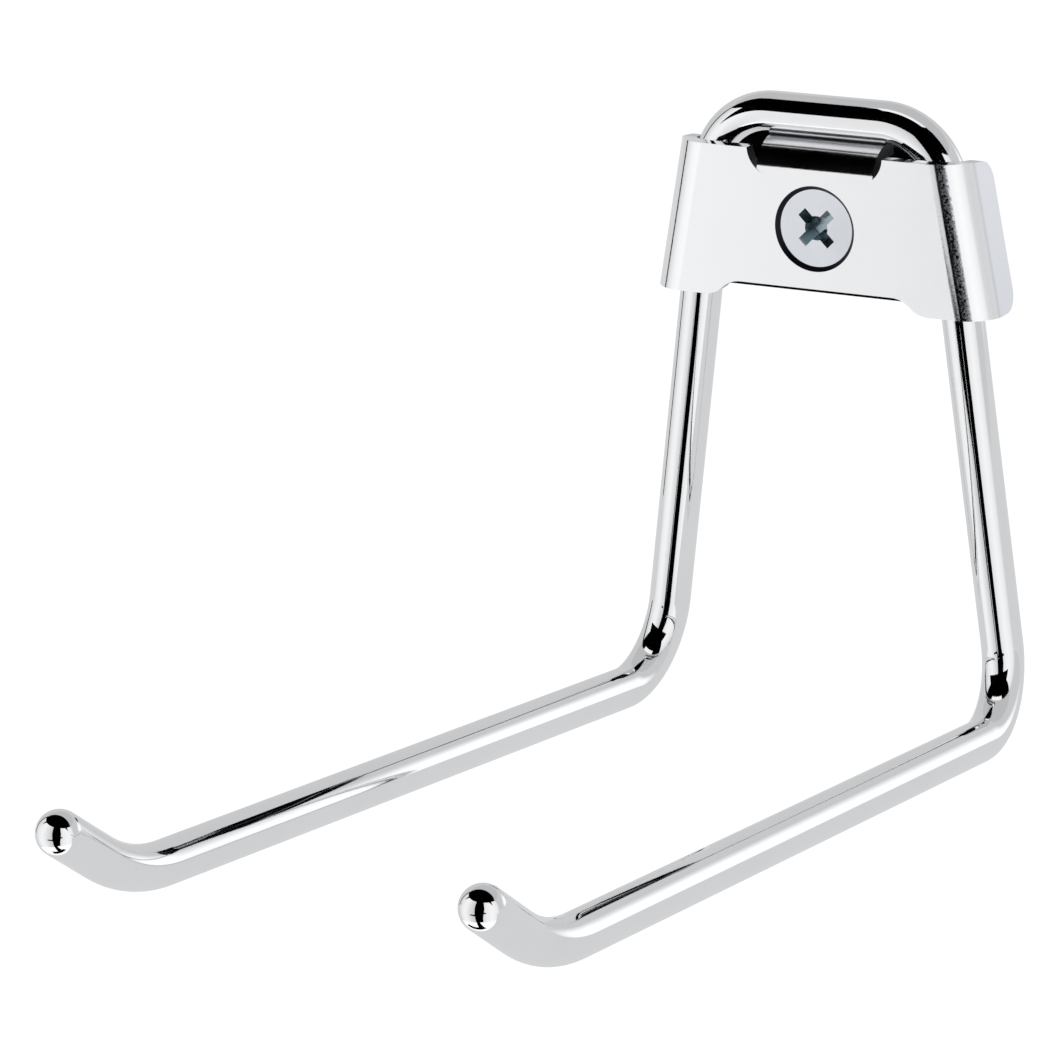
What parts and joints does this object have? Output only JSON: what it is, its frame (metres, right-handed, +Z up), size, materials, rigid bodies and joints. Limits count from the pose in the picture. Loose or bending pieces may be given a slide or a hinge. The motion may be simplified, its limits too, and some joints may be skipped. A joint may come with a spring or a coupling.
{
  "type": "storage hook",
  "caption": "Wall hook of bent round bar: two long prongs with upturned tips on splayed legs, straddled by a pressed clamp plate that a countersunk screw holds to the wall.",
  "frame": {"origin": "the point where the screw's axis passes through the wall's surface", "axes": "+X to the right as one faces the wall, +Y into the wall along the screw, +Z up; the prongs point to -Y"},
  "size_m": [0.0652, 0.192, 0.0905],
  "materials": {
    "bar_chrome": "bright chrome plating, smooth",
    "plate_plating": "bright plating over pressed sheet, slightly rough",
    "screw_plating": "bright zinc plating"
  },
  "bodies": {
    "root": {"hook_bar": "bar_chrome", "clamp_plate": "plate_plating", "screw": "screw_plating"}
  },
  "joints": []
}
